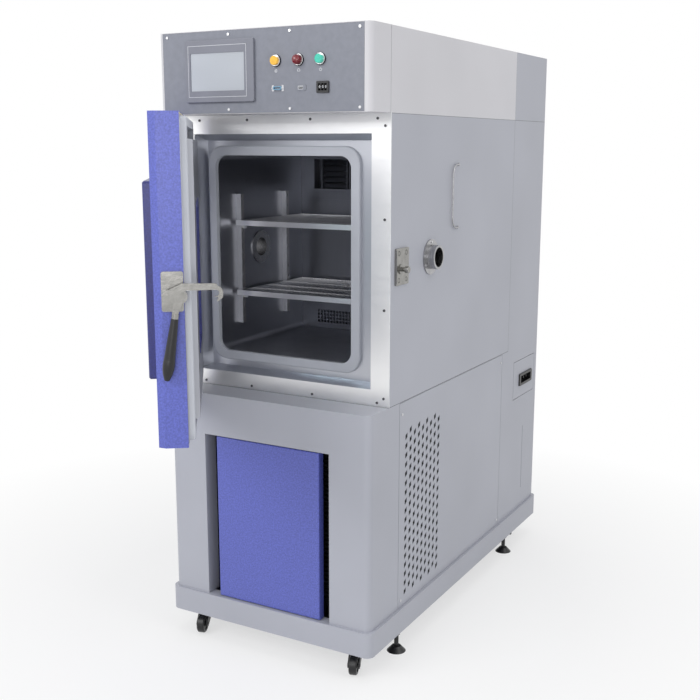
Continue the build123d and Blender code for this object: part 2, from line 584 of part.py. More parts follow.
def case_screws():
    """Pan-head screws on the fascia, the front frame, the side panels and the port flanges."""
    fascia = [(x, 1562) for x in (-268, -86, 86, 269)] + [(x, 1389) for x in (-88, 85, 269)]
    frame = [(x, 1367) for x in (-251, -104, 80, 263)] + [(283, z) for z in (1350, 1134, 918, 701)]
    frame += [(265, 689), (80, 689), (-104, 689), (-251, 689), (-285, 1350), (-285, 1134), (-285, 918), (-285, 701)]
    heads = [rod((x, -1.6, z), "y", 1.6, 3.2) for x, z in fascia]
    heads += [rod((x, FRAME_Y - 1.6, z), "y", 1.6, 3.2) for x, z in frame]
    for sx in (-1, 1):
        for y, z in ((170, 647), (845, 654), (170, 150), (845, 150)):
            heads.append(rod((HALF_W if sx > 0 else -HALF_W - 1.6, y, z), "x", 1.6, 3.6))
        port_y = PORT_RIGHT_Y if sx > 0 else PORT_LEFT_Y
        for a in (90, 210, 330):
            y = port_y + 38 * math.cos(math.radians(a))
            z = PORT_Z + 38 * math.sin(math.radians(a))
            heads.append(rod((HALF_W + 3 if sx > 0 else -HALF_W - 4.6, y, z), "x", 1.6, 3))
    return solids(*heads)


def hinge_brackets():
    """Fixed halves of the lift-off hinges: side leaf, lower knuckle and pin."""
    parts = []
    for z in HINGE_Z:
        leaf = block(-HALF_W - 3, -HALF_W, HINGE_Y + 10, 150, z, z + 98)
        leaf += block(-HALF_W - 3, -HALF_W, HINGE_Y, HINGE_Y + 11, z, z + 48)
        leaf += rod((HINGE_X, HINGE_Y, z), "z", 48, KNUCKLE_R)
        leaf += rod((HINGE_X, HINGE_Y, z), "z", 96, PIN_R)
        parts.append(leaf)
    return solids(*parts)


def door_hinge_leaves():
    parts = []
    for z in HINGE_Z:
        leaf = block(HINGE_X, HINGE_X + 80, DOOR_Y0 - 4, DOOR_Y0, z + 48.3, z + 98)
        leaf += rod((HINGE_X, HINGE_Y, z + 48.3), "z", 49.7, KNUCKLE_R)
        leaf -= rod((HINGE_X, HINGE_Y, z), "z", 120, PIN_R + RUN)
        parts.append(ajar(leaf))
    return solids(*parts)


def door_plan(inset, y_back):
    """Door outline in plan with its bevelled vertical edges, extruded over its height."""
    bevel_x, bevel_y = DOOR_BEVEL
    x0, x1, y0 = DOOR_X0 + inset, DOOR_X1 - inset, DOOR_Y0 + inset
    points = [(x0, y_back), (x0, DOOR_Y0 + bevel_y), (x0 + bevel_x, y0), (x1 - bevel_x, y0), (x1, DOOR_Y0 + bevel_y), (x1, y_back)]
    z0, z1 = DOOR_Z0 + inset, DOOR_Z1 - inset
    return extrude(Plane.XY.offset(z0) * make_face(Polyline(*points, close=True)), z1 - z0)


def door_shell():
    body = door_plan(0, DOOR_Y1) - door_plan(SHEET, DOOR_Y1 + 1)
    return ajar(body - slab_y(WIN_HOLE, 0, 60, radius=14, grow=4))


def door_core():
    """Foam filling of the door and its plug."""
    gap = 0.2
    body = door_plan(SHEET + gap, DOOR_Y1 - gap)
    body += taper_y(PLUG_ROOT, DOOR_Y1 - 2, PLUG_END, PLUG_Y - LINER - gap, grow=-LINER - gap)
    return ajar(body - slab_y(WIN_HOLE, 0, 160, radius=14, grow=4))


def door_liner():
    """Stainless inner pan with the tapered plug."""
    rect = (DOOR_X0 + 5, DOOR_X1 - 5, DOOR_Z0 + 5, DOOR_Z1 - 5)
    body = slab_y(rect, DOOR_Y1, DOOR_Y1 + LINER, radius=10)
    body += taper_y(PLUG_ROOT, DOOR_Y1, PLUG_END, PLUG_Y)
    body -= taper_y(PLUG_ROOT, DOOR_Y1 - 0.01, PLUG_END, PLUG_Y - LINER, grow=-LINER)
    return ajar(body - slab_y(WIN_HOLE, 0, 160, radius=14, grow=4))


def door_gasket():
    outer = (DOOR_X0 + 12.5, DOOR_X1 - 10.5, DOOR_Z0 + 7.5, DOOR_Z1 - 8.5)
    inner = (DOOR_X0 + 29, DOOR_X1 - 29, DOOR_Z0 + 29, DOOR_Z1 - 29)
    body = slab_y(outer, DOOR_Y1 + LINER, FRAME_Y - 0.5, radius=24)
    body = fillet(body.faces().sort_by(Axis.Y)[-1].edges(), 5)
    body -= slab_y(inner, DOOR_Y1, FRAME_Y + 1, radius=6)
    return ajar(body)


def window_frame():
    """Raised outer surround of the viewing window and the sleeve through the door."""
    body = slab_y(WIN_BOX, DOOR_Y0 - WIN_PROUD, DOOR_Y0, radius=6)
    body = chamfer(body.faces().sort_by(Axis.Y)[0].edges(), 3)
    body += slab_y(WIN_HOLE, DOOR_Y0, PLUG_Y + 2, radius=14, grow=4)
    body += slab_y(WIN_HOLE, PLUG_Y, PLUG_Y + 1.5, radius=22, grow=14)
    body -= slab_y(WIN_HOLE, DOOR_Y0 - WIN_PROUD - 1, PLUG_Y + 3, radius=10)
    return ajar(body)


def window_panes():
    outer = slab_y(WIN_HOLE, DOOR_Y0 - 14, DOOR_Y0 - 9, radius=10)
    inner = slab_y(WIN_HOLE, PLUG_Y - 8, PLUG_Y - 3, radius=10)
    return solids(ajar(outer), ajar(inner))


def latch_plate():
    """Base plate on the door's free edge, with the lever's pivot bolt."""
    y0, y1, z0, z1 = 36.0, 81.0, 974.0, 1056.0
    body = block(DOOR_X1, DOOR_X1 + 4, y0, y1, z0, z1)
    body = fillet(body.edges().filter_by(Axis.X), 5)
    body += rod((DOOR_X1 + 3, *LEVER_PIVOT), "x", 11, 5)
    body += rod((LEVER_X1 + 0.2, *LEVER_PIVOT), "x", 2, 8)
    for z in (z0 + 8, z1 - 8):
        body += rod((DOOR_X1 + 4, y0 + 9, z), "x", 0.8, 5)
    return ajar(body)


def latch_lever():
    """Forged lever: cam boss, eccentric lobe with the hook's pin, and the neck to the grip."""
    body = link_yz(LEVER_PIVOT, 15, HOOK_ROOT, 9, LEVER_X0, LEVER_X1)
    neck_end = (GRIP_TOP[0] + 1.4, GRIP_TOP[1] + 12)
    body += link_yz(LEVER_PIVOT, 10, neck_end, 6.5, LEVER_X0, LEVER_X1)
    body += rod((LEVER_X1 - 1, *HOOK_ROOT), "x", HOOK_X1 - LEVER_X1 + 1.4, 4)
    body += rod((HOOK_X1 + 0.2, *HOOK_ROOT), "x", 2, 7)
    heading = Vector(0, GRIP_END[0] - GRIP_TOP[0], GRIP_END[1] - GRIP_TOP[1]).normalized()
    middle = (LEVER_X0 + LEVER_X1) / 2 + 4
    collar_at = Vector(middle, *GRIP_TOP) - heading * 10
    body += extrude(Plane(origin=collar_at, z_dir=heading) * Circle(7.5), 10)
    body += extrude(Plane(origin=Vector(middle, *GRIP_TOP), z_dir=heading) * Circle(3.5), 60)
    return ajar(body - rod((0, *LEVER_PIVOT), "x", 400, 5 + RUN))


def latch_grip():
    """Moulded grip that swells towards its rounded end."""
    start = Vector((LEVER_X0 + LEVER_X1) / 2 + 4, *GRIP_TOP)
    end = Vector((LEVER_X0 + LEVER_X1) / 2 + 4, *GRIP_END)
    heading = (end - start).normalized()
    length = (end - start).length
    swell = ThreePointArc((7.5, 0), (9.5, 0.3 * length), (11.7, 0.66 * length))
    end_curve = ThreePointArc((11.7, 0.66 * length), (10.6, 0.88 * length), (5, length))
    outline = make_face([swell, end_curve, Line((5, length), (0, length)), Line((0, length), (0, 0)), Line((0, 0), (7.5, 0))])
    grip = revolve(Plane.XZ * outline, Axis.Z)
    grip = Plane(origin=start, z_dir=heading) * grip
    return ajar(grip - extrude(Plane(origin=start - heading, z_dir=heading) * Circle(3.5), 61))


def latch_hook():
    """Cranked hook arm with the beak that draws the door in on the keeper's pin."""
    py, pz = STRIKE_PIN
    inner, outer = STRIKE_R + 1, STRIKE_R + 9
    body = link_yz(HOOK_ROOT, 9, HOOK_CRANK, 7.5, HOOK_X0, HOOK_X1)
    body += link_yz(HOOK_CRANK, 7.5, HOOK_ARM_END, 6.5, HOOK_X0, HOOK_X1)
    ring = tube((HOOK_X0, py, pz), "x", HOOK_X1 - HOOK_X0, outer, inner)
    keep = block(HOOK_X0, HOOK_X1, py - 2, py + outer + 1, pz - 8, pz + outer + 1)
    body += ring & keep
    body += link_yz((py + 10, pz - 7), 4, (py + 3.5, pz - 15.5), 1.8, HOOK_X0, HOOK_X1)
    body -= rod((HOOK_X0 - 1, py, pz), "x", 10, inner)
    body += rod((HOOK_X0 - 0.6, 94, 1025.5), "x", HOOK_X1 - HOOK_X0 + 2.6, 4.5)
    return ajar(body - rod((HOOK_X0 - 1, *HOOK_ROOT), "x", 10, 4 + RUN))


def castor_places():
    turn = math.radians(CASTOR_TURN)
    trail = (CASTOR_TRAIL * math.sin(turn), -CASTOR_TRAIL * math.cos(turn))
    names = (("front", CASTOR_Y[0]), ("rear", CASTOR_Y[1]))
    return {f"{end}_{side}": (sx * CASTOR_X, y, trail) for end, y in names for side, sx in (("left", -1), ("right", 1))}


def castor_fork(x, y):
    """Swivel head, two raked cheeks and the axle, drawn trailing to the front, then turned."""
    fork = rod((0, 0, 57), "z", 9.8, 19) + rod((0, -2, 53), "z", 5, 14)
    fork += block(-15.2, 15.2, -22, 9, 52, 55.5)
    for x0 in (-15.2, 12.2):
        fork += link_yz((-CASTOR_TRAIL, AXLE_Z), 9, (-6, 43.5), 11, x0, x0 + 3)
    fork += rod((-16.5, -CASTOR_TRAIL, AXLE_Z), "x", 33, 4)
    return Pos(x, y, 0) * Rot(0, 0, CASTOR_TURN) * fork


def castor_wheel(x, y):
    wheel = rod((-WHEEL_W / 2, -CASTOR_TRAIL, AXLE_Z), "x", WHEEL_W, WHEEL_R)
    wheel = chamfer(wheel.edges(), 2.5)
    for sx in (-1, 1):
        wheel -= tube((min(sx * 8, sx * 12), -CASTOR_TRAIL, AXLE_Z), "x", 4, 17, 8)
    wheel -= rod((-20, -CASTOR_TRAIL, AXLE_Z), "x", 40, 4 + RUN)
    return Pos(x, y, 0) * Rot(0, 0, CASTOR_TURN) * wheel


def castor_plates():
    plates = [block(sx * CASTOR_X - 34, sx * CASTOR_X + 34, y - 30, y + 30, PLINTH_Z0 - 3, PLINTH_Z0)
              for sx in (-1, 1) for y in CASTOR_Y]
    return solids(*[p - rod((p.center().X, p.center().Y, 0), "z", 100, 19.5) for p in plates])


def levelling_foot(x, y):
    """Round pad with a sloped top, lock nut and threaded stem."""
    pad = Pos(x, y, 0) * Cone(25, 12, 14, align=(Align.CENTER, Align.CENTER, Align.MIN))
    nut = Pos(x, y, 46) * extrude(RegularPolygon(10, 6), 8)
    return pad + rod((x, y, 13), "z", 88, 6) + nut


def build_all():
    parts = {
        "plinth": solids(plinth(), castor_plates()), "lower_cabinet": lower_cabinet(), "side_panels": side_panels(),
        "rear_housing": rear_housing(), "socket_panel": socket_panel(), "power_inlet": power_inlet(),
        "upper_skins": upper_skins(), "control_hood": control_hood(), "control_fascia": control_fascia(),
        "hmi_bezel": hmi_bezel(), "hmi_screen": hmi_screen(), "alarm_dome": alarm_dome(),
        "panel_collars": panel_collars(), "panel_sockets": panel_sockets(), "front_frame": front_frame(),
        "opening_seal": opening_seal(), "chamber_liner": chamber_liner(), "insulation_slabs": insulation_slabs(),
        "duct_panel": duct_panel(), "shelf_uprights": shelf_uprights(), "port_tubes": port_tubes(),
        "striker": striker(), "wire_handle": wire_handle(), "refrigeration_unit": refrigeration_unit(),
        "fan_motors": fan_motors(), "hinge_brackets": hinge_brackets(), "case_screws": case_screws(),
        "shelf_lower": shelf(SHELF_Z[0]), "shelf_upper": shelf(SHELF_Z[1]),
        "condenser_fan": condenser_fan(), "blower_wheel": blower_wheel(), "service_door": service_door(),
        "yellow_button": push_button(YELLOW_X), "green_button": push_button(GREEN_X),
        "door_shell": door_shell(), "door_core": door_core(), "door_liner": door_liner(),
        "door_gasket": door_gasket(), "window_frame": window_frame(), "window_panes": window_panes(),
        "door_hinge_leaves": door_hinge_leaves(), "latch_plate": latch_plate(), "latch_lever": latch_lever(),
        "latch_grip": latch_grip(), "latch_hook": latch_hook(),
    }
    for i in range(3):
        parts[f"thumbwheel_{i + 1}"] = thumbwheel(i)
    for name, (x, y, _) in castor_places().items():
        parts[f"castor_fork_{name}"] = castor_fork(x, y)
        parts[f"castor_wheel_{name}"] = castor_wheel(x, y)
    for end, y in zip(("front", "rear"), FOOT_Y):
        for side, sx in (("left", -1), ("right", 1)):
            parts[f"foot_{end}_{side}"] = levelling_foot(sx * FOOT_X, y)
    return parts


PARTS = build_all()
BOUNDS = Compound(children=[s for part in PARTS.values() for s in part.solids()]).bounding_box()
ORIGIN = Vector((BOUNDS.min.X + BOUNDS.max.X) / 2, (BOUNDS.min.Y + BOUNDS.max.Y) / 2, BOUNDS.min.Z)

for name, part in PARTS.items():
    export_step(Pos(-ORIGIN.X, -ORIGIN.Y, -ORIGIN.Z) * solids(part), f"parts/{name}.step")
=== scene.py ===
import math

import bpy
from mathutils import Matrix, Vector

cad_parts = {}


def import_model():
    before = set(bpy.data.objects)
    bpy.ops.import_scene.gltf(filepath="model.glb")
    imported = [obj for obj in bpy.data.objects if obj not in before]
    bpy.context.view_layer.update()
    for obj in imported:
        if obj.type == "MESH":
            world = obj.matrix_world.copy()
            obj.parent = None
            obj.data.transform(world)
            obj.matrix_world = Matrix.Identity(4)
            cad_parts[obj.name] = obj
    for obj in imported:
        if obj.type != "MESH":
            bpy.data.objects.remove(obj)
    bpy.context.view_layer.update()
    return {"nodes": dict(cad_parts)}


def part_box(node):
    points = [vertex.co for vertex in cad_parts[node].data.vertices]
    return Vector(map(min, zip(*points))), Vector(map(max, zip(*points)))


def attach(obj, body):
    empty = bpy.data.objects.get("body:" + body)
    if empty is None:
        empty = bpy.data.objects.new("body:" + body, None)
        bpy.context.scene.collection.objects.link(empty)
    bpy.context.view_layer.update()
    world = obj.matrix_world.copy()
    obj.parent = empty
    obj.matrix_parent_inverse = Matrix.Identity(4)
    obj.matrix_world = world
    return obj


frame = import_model()

# Where the camera stood, from the photograph, in metres in the cabinet's own frame:
# x from the middle of the cabinet, y from its front plane, z from the floor
CAMERA_AT = (1.3999, -2.0642, 1.3054)
CAMERA_YAW, CAMERA_PITCH, CAMERA_ROLL = 29.26, 11.24, -0.04
CAMERA_LENS, SENSOR = 52.97, 36.0

# The cabinet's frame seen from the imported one: middle of its width and its front plane, in metres
FRAME_LOW, FRAME_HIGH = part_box("front_frame")
FRAME_SETBACK = 0.097
SHIFT = Vector(((FRAME_LOW.x + FRAME_HIGH.x) / 2, FRAME_LOW.y - FRAME_SETBACK, 0))

# Printed signs and the light line round the display, in millimetres
BEZEL_Y, FASCIA_Y = -7.0, 0.0
STROKE, PRINT_DEPTH = 0.8, 0.15
SIGN_Z = 1474
LAMP_X, SOUNDER_X, POWER_X = 47, 109, 167
DIGIT_SIZE, DIGIT_DEPTH, DIGIT_GAP = 0.008, 0.0001, 0.00005

# Black sheets behind the side vents as painted shade, in millimetres: from the middle outwards, depth and
# height
VENT_SHADE_X = (293, 295.5)
VENT_SHADE_Y, VENT_SHADE_Z = (186, 404), (150, 612)

# White floor, in metres: half its width, and where the white fades in round the object
FLOOR_REACH = 60.0
FADE_START, FADE_END, FADE_SHARE = 0.7, 1.8, 0.6


def at(x, y, z):
    """A point given in the cabinet's own frame in millimetres."""
    return SHIFT + Vector((x, y, z)) / 1000


def srgb(red, green, blue):
    """A colour as it looks on a screen, 0 to 255, as a linear one."""
    linear = []
    for part in (red, green, blue):
        c = part / 255
        linear.append(c / 12.92 if c <= 0.04045 else ((c + 0.055) / 1.055) ** 2.4)
    return (*linear, 1.0)


def scaled(colour, factor):
    """A lighter or darker colour."""
    return tuple(min(1.0, c * factor) for c in colour[:3]) + (1.0,)


def new_material(name, colour, **values):
    """A Principled material with its node tree, shader and output."""
    material = bpy.data.materials.new(name)
    material.use_nodes = True
    tree = material.node_tree
    tree.nodes.clear()
    output = tree.nodes.new("ShaderNodeOutputMaterial")
    shader = tree.nodes.new("ShaderNodeBsdfPrincipled")
    tree.links.new(shader.outputs[0], output.inputs[0])
    shader.inputs["Base Color"].default_value = colour
    for socket, value in values.items():
        shader.inputs[socket.replace("_", " ")].default_value = value
    material.diffuse_color = colour
    return material, tree, shader


def coordinates(tree, scale=(1, 1, 1)):
    """The place on the piece, stretched along each axis."""
    place = tree.nodes.new("ShaderNodeTexCoord")
    mapping = tree.nodes.new("ShaderNodeMapping")
    mapping.inputs["Scale"].default_value = scale
    tree.links.new(place.outputs["Object"], mapping.inputs["Vector"])
    return mapping.outputs["Vector"]


def noise(tree, vector, scale, detail=3.0, roughness=0.5):
    node = tree.nodes.new("ShaderNodeTexNoise")
    node.inputs["Scale"].default_value = scale
    node.inputs["Detail"].default_value = detail
    node.inputs["Roughness"].default_value = roughness
    tree.links.new(vector, node.inputs["Vector"])
    return node.outputs[0]


def ramp(tree, value, low, high, start=0.3, end=0.7):
    """Maps a 0 to 1 value to two colours."""
    node = tree.nodes.new("ShaderNodeValToRGB")
    node.color_ramp.elements[0].position = start
    node.color_ramp.elements[0].color = low
    node.color_ramp.elements[1].position = end
    node.color_ramp.elements[1].color = high
    tree.links.new(value, node.inputs[0])
    return node.outputs[0]


def grey(value):
    return (value, value, value, 1.0)


def bump(tree, shader, height, strength, distance):
    node = tree.nodes.new("ShaderNodeBump")
    node.inputs["Strength"].default_value = strength
    node.inputs["Distance"].default_value = distance
    tree.links.new(height, node.inputs["Height"])
    tree.links.new(node.outputs[0], shader.inputs["Normal"])


def calculate(tree, operation, first, second):
    """One step of arithmetic on a socket and a second socket or number."""
    node = tree.nodes.new("ShaderNodeMath")
    node.operation = operation
    tree.links.new(first, node.inputs[0])
    if isinstance(second, (int, float)):
        node.inputs[1].default_value = second
    else:
        tree.links.new(second, node.inputs[1])
    return node.outputs[0]


def within(tree, low, high):
    """1 inside the box between two points, 0 outside."""
    place = tree.nodes.new("ShaderNodeTexCoord")
    split = tree.nodes.new("ShaderNodeSeparateXYZ")
    tree.links.new(place.outputs["Object"], split.inputs[0])
    mask = None
    for axis in range(3):
        above = calculate(tree, "GREATER_THAN", split.outputs[axis], low[axis])
        below = calculate(tree, "LESS_THAN", split.outputs[axis], high[axis])
        slab = calculate(tree, "MULTIPLY", above, below)
        mask = slab if mask is None else calculate(tree, "MULTIPLY", mask, slab)
    return mask


def mixed(tree, share, first, second):
    """Two colours mixed by a share; each is a socket or a colour."""
    node = tree.nodes.new("ShaderNodeMix")
    node.data_type = "RGBA"
    tree.links.new(share, node.inputs["Factor"])
    for socket, value in ((node.inputs[6], first), (node.inputs[7], second)):
        if isinstance(value, tuple):
            socket.default_value = value
        else:
            tree.links.new(value, socket)
    return node.outputs[2]


def marked(tree, tone, areas):
    """Lays colours over a tone, each within a box between two points."""
    for low, high, colour in areas:
        tone = mixed(tree, within(tree, low, high), tone, colour)
    return tone


def paint(name, colour, roughness, vary=0.04, peel=260, strength=0.12, mottle=3.0, areas=()):
    """Powder coat: a little unevenness in tone, and orange peel."""
    material, tree, shader = new_material(name, colour, Roughness=roughness)
    where = coordinates(tree)
    tone = ramp(tree, noise(tree, where, mottle, 2), scaled(colour, 1 - vary), scaled(colour, 1 + vary))
    tree.links.new(marked(tree, tone, areas), shader.inputs["Base Color"])
    bump(tree, shader, noise(tree, where, peel, 2), strength, 0.001)
    return material


def hammered(name, colour, roughness):
    """Textured enamel: blotches of tone, glints and a pebbled surface."""
    material, tree, shader = new_material(name, colour, Roughness=roughness)
    shader.inputs["Coat Weight"].default_value = 0.25
    shader.inputs["Coat Roughness"].default_value = 0.25
    where = coordinates(tree)
    tone = ramp(tree, noise(tree, where, 260, 4, 0.6), scaled(colour, 0.8), scaled(colour, 1.2), 0.36, 0.64)
    tree.links.new(tone, shader.inputs["Base Color"])
    bump(tree, shader, noise(tree, where, 240, 3, 0.6), 0.45, 0.001)
    return material


def steel(name, colour, roughness, grain=(3, 3, 260), strength=0.1, vary=0.06, areas=()):
    """Brushed or rolled sheet: fine lines along the grain, and tone that wanders a little."""
    material, tree, shader = new_material(name, colour, Roughness=roughness, Metallic=1.0)
    lines = noise(tree, coordinates(tree, grain), 4, 4, 0.6)
    cloud = noise(tree, coordinates(tree), 5, 3)
    tone = ramp(tree, cloud, scaled(colour, 1 - vary), scaled(colour, 1 + vary))
    tree.links.new(marked(tree, tone, areas), shader.inputs["Base Color"])
    rough = ramp(tree, lines, grey(roughness * 0.85), grey(min(1, roughness * 1.2)))
    tree.links.new(rough, shader.inputs["Roughness"])
    bump(tree, shader, lines, strength, 0.0005)
    return material


def cast(name, colour, roughness, areas=()):
    """Cast and tumbled metal: smooth, with small dents."""
    material, tree, shader = new_material(name, colour, Roughness=roughness, Metallic=1.0)
    where = coordinates(tree)
    tone = ramp(tree, noise(tree, where, 60, 3), scaled(colour, 0.88), scaled(colour, 1.08))
    tree.links.new(marked(tree, tone, areas), shader.inputs["Base Color"])
    bump(tree, shader, noise(tree, where, 140, 3), 0.25, 0.0008)
    return material


def moulded(name, colour, roughness, grain=700, strength=0.08, vary=0.06, areas=()):
    """Plastic or rubber with a fine moulded grain."""
    material, tree, shader = new_material(name, colour, Roughness=roughness)
    where = coordinates(tree)
    tone = ramp(tree, noise(tree, where, 12, 3), scaled(colour, 1 - vary), scaled(colour, 1 + vary))
    tree.links.new(marked(tree, tone, areas), shader.inputs["Base Color"])
    bump(tree, shader, noise(tree, where, grain, 2), strength, 0.0004)
    return material


def lens(name, colour, glow):
    """Coloured lens with a faint painted glow."""
    material, tree, shader = new_material(name, colour, Roughness=0.22)
    shader.inputs["Coat Weight"].default_value = 0.6
    shader.inputs["Coat Roughness"].default_value = 0.08
    tone = ramp(tree, noise(tree, coordinates(tree), 90, 2), scaled(colour, 0.92), scaled(colour, 1.08))
    tree.links.new(tone, shader.inputs["Base Color"])
    tree.links.new(tone, shader.inputs["Emission Color"])
    # The emission is painted light: a faint glow that brightens the lens colour.
    shader.inputs["Emission Strength"].default_value = glow
    return material


def glass(name, tint, roughness=0.02):
    material, tree, shader = new_material(name, tint, Roughness=roughness)
    shader.inputs["Transmission Weight"].default_value = 1.0
    shader.inputs["IOR"].default_value = 1.45
    tone = ramp(tree, noise(tree, coordinates(tree), 6, 2), scaled(tint, 0.97), scaled(tint, 1.0))
    tree.links.new(tone, shader.inputs["Base Color"])
    return material


def display(name, colour):
    """Unlit touch panel: a pale film with a faint slope in tone."""
    material, tree, shader = new_material(name, colour, Roughness=0.18)
    shader.inputs["Coat Weight"].default_value = 0.5
    shader.inputs["Coat Roughness"].default_value = 0.05
    slope = noise(tree, coordinates(tree, (3, 3, 5)), 1.5, 1)
    tone = ramp(tree, slope, scaled(colour, 0.93), scaled(colour, 1.07))
    tree.links.new(tone, shader.inputs["Base Color"])
    return material


def area(x0, x1, y0, y1, z0, z1, colour):
    """A coloured box, given in the cabinet's own frame in millimetres."""
    return at(x0, y0, z0), at(x1, y1, z1), colour


def cabinet_painted_shade_and_joints():
    """The machine space behind the returns of its opening, painted dark as painted shade, and the shadow
    lines of the sheet joints.
    """
    dark, line = srgb(20, 21, 23), srgb(92, 96, 102)
    return [
        # Painted shade: inside the cabinet, behind the opening's returns, the faces are painted near black.
        area(-296.7, 296.7, 46, 905, 130.5, 678.5, dark),
        area(-278, 278, 905, 1180, 130.5, 678.5, dark),
        area(-299, 299, 94, 1187, 1377.9, 1379.2, line),
        area(-299, 299, 904.4, 905.6, 680, 1574, line),
        area(-299, 299, 92, 906, 678.9, 680.4, line),
    ]


def materials():
    return {
        "cabinet": paint("cabinet_paint", srgb(171, 173, 182), 0.42, areas=cabinet_painted_shade_and_joints()),
        "hood": paint("hood_paint", srgb(204, 203, 207), 0.42),
        "fascia": paint("fascia_paint", srgb(128, 131, 141), 0.5, vary=0.05, peel=420, strength=0.1,
                        mottle=60),
        "blue": hammered("blue_enamel", srgb(87, 96, 178), 0.42),
        "dark_blue": hammered("dark_blue_enamel", srgb(40, 44, 112), 0.4),
        # The steel behind the frame's front face, on its inner flange and returns, is painted darker and
        # bluish as painted shade.
        "frame": steel("frame_steel", srgb(250, 250, 250), 0.36, grain=(3, 3, 260), vary=0.06,
                       areas=[area(-275, 255, 98, 150, 700, 1350, srgb(206, 208, 214))]),
        "liner": steel("liner_steel", srgb(170, 172, 180), 0.36, grain=(3, 3, 200)),
        "duct": steel("duct_steel", srgb(128, 130, 137), 0.42, grain=(200, 3, 3)),
        "shelf": steel("shelf_steel", srgb(228, 228, 230), 0.34, grain=(3, 3, 3)),
        "post": steel("upright_steel", srgb(196, 196, 198), 0.36, grain=(3, 3, 60)),
        "screw": cast("screw_metal", srgb(214, 214, 216), 0.3,
                      areas=[area(-298, 298, 95, 97.4, 680, 1380, srgb(96, 96, 98))]),
        "bright": cast("bright_hardware", srgb(168, 168, 170), 0.26),
        "cast": cast("latch_metal", srgb(148, 147, 144), 0.24),
        "seal": moulded("seal_silicone", srgb(190, 193, 201), 0.55, grain=300, vary=0.03),
        "foam": moulded("foam", srgb(226, 214, 170), 0.9, grain=150),
        "black": moulded("black_plastic", srgb(17, 17, 20), 0.38),
        "bezel": moulded("bezel_plastic", srgb(124, 126, 136), 0.45, grain=900),
        "screen": display("display_film", srgb(182, 187, 194)),
        "glass": glass("window_glass", srgb(225, 235, 238)),
        "sockets": moulded("socket_plastic", srgb(126, 129, 139), 0.4, areas=[
            area(41, 63, -6, -1.21, 1428, 1442, srgb(120, 176, 206)),
            area(35, 41, -6, 0, 1428, 1442, srgb(214, 214, 216)),
            area(63, 69, -6, 0, 1428, 1442, srgb(214, 214, 216)),
            area(107, 121, -6, 4, 1431, 1439, srgb(196, 198, 202)),
            area(155, 195, -6, 30, 1418, 1452, srgb(30, 30, 33))]),
        "ring": cast("button_ring", srgb(228, 228, 230), 0.15,
                     areas=[area(20, 200, -4.2, 60, 1470, 1520, srgb(34, 34, 38))]),
        # The lenses' glow is painted light.
        "red": lens("alarm_red", srgb(120, 22, 34), 0.02),
        "yellow": lens("button_yellow", srgb(236, 180, 44), 0.12),
        "green": lens("button_green", srgb(44, 186, 162), 0.12),
        "dial": moulded("dial_black", srgb(24, 24, 26), 0.4),
        # Black sheets behind the vents: painted shade.
        "behind_vents": moulded("painted_shade_black", srgb(17, 17, 19), 0.95, grain=400, strength=0.4),
        "machine": paint("machine_black", srgb(30, 31, 34), 0.5, vary=0.15, peel=120, strength=0.3),
        "motor": cast("motor_alloy", srgb(150, 152, 156), 0.45),
        "mark": moulded("white_print", srgb(224, 226, 230), 0.5, vary=0.02),
    }


def nodes_of_each_finish():
    stands = [name for name in frame["nodes"] if name.startswith(("castor_", "foot_"))]
    return {
        "cabinet": ["plinth", "lower_cabinet", "side_panels", "rear_housing", "socket_panel", "upper_skins"],
        "hood": ["control_hood"],
        "fascia": ["control_fascia"],
        "frame": ["front_frame"],
        "liner": ["chamber_liner", "door_liner"],
        "post": ["shelf_uprights"],
        "screw": ["case_screws"],
        "duct": ["duct_panel"],
        "bright": ["port_tubes", "hinge_brackets", "door_hinge_leaves", "wire_handle"],
        "shelf": ["shelf_upper", "shelf_lower"],
        "blue": ["door_shell", "service_door"],
        "dark_blue": ["window_frame"],
        "seal": ["opening_seal", "door_gasket"],
        "foam": ["insulation_slabs", "door_core"],
        "cast": ["latch_plate", "latch_lever", "latch_hook", "striker"],
        "black": ["power_inlet", "latch_grip"] + stands,
        "sockets": ["panel_sockets"],
        "bezel": ["hmi_bezel"],
        "screen": ["hmi_screen"],
        "glass": ["window_panes"],
        "ring": ["panel_collars"],
        "red": ["alarm_dome"],
        "yellow": ["yellow_button"],
        "green": ["green_button"],
        "dial": [f"thumbwheel_{i}" for i in (1, 2, 3)],
        "machine": ["refrigeration_unit", "condenser_fan"],
        "motor": ["fan_motors", "blower_wheel"],
    }


def dress(look):
    """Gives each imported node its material."""
    for finish, names in nodes_of_each_finish().items():
        for name in names:
            node = frame["nodes"][name]
            node.data.materials.clear()
            node.data.materials.append(look[finish])


def mesh_piece(name, points, faces, material, body):
    """A piece of scene.py's own, on one of the bodies."""
    mesh = bpy.data.meshes.new(name)
    mesh.from_pydata([tuple(p) for p in points], [], faces)
    mesh.materials.append(material)
    piece = bpy.data.objects.new(name, mesh)
    bpy.context.scene.collection.objects.link(piece)
    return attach(piece, body)


STROKE_FACES = ((0, 1, 2, 3), (7, 6, 5, 4), (0, 4, 5, 1), (1, 5, 6, 2), (2, 6, 7, 3), (3, 7, 4, 0))


def printed(name, lines, plane_y, look):
    """Flat white strokes on a front plane: each line is a list of (x, z) in millimetres."""
    points, faces = [], []
    for line in lines:
        for (x0, z0), (x1, z1) in zip(line, line[1:]):
            length = math.hypot(x1 - x0, z1 - z0)
            side_x, side_z = -(z1 - z0) / length * STROKE / 2, (x1 - x0) / length * STROKE / 2
            start = len(points)
            for y in (plane_y - PRINT_DEPTH, plane_y):
                points += [at(x0 + side_x, y, z0 + side_z), at(x1 + side_x, y, z1 + side_z),
                           at(x1 - side_x, y, z1 - side_z), at(x0 - side_x, y, z0 - side_z)]
            faces += [tuple(start + corner for corner in face) for face in STROKE_FACES]
    return mesh_piece(name, points, faces, look["mark"], "cabinet")


def arc(x, z, radius, start=0, end=360, steps=20):
    """Points of an arc in a front plane, between two angles in degrees."""
    turns = [math.radians(start + (end - start) * i / steps) for i in range(steps + 1)]
    return [(x + radius * math.cos(t), z + radius * math.sin(t)) for t in turns]


